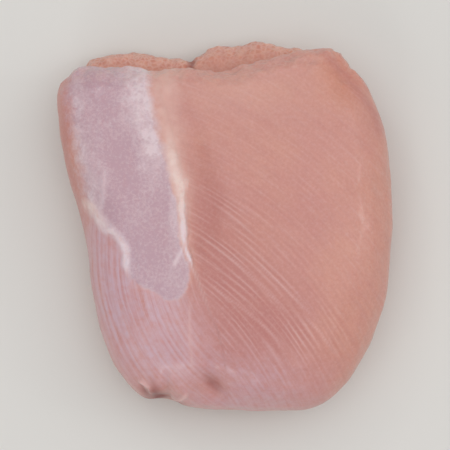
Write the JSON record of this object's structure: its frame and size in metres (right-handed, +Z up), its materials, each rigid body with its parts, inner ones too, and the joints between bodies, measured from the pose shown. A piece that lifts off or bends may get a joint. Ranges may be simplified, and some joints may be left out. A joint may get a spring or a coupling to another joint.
{
  "type": "raw chicken thigh",
  "caption": "Raw boneless, skinless chicken thigh, folded over once into a plump rounded pad with a crease between its layers and a flat underside.",
  "frame": {"origin": "middle of the outline seen from above, at the level of the flat underside", "axes": "+X to the right across the thigh, +Y towards the cut edges of the folded layers (the roll of the fold is at -Y), +Z up out of the smooth outer face"},
  "size_m": [0.0814, 0.0902, 0.0274],
  "materials": {
    "raw_meat": "moist, pale pink muscle with a thin lilac-white membrane and cream fat over part of it"
  },
  "bodies": {
    "root": {"thigh": "raw_meat"}
  },
  "joints": []
}
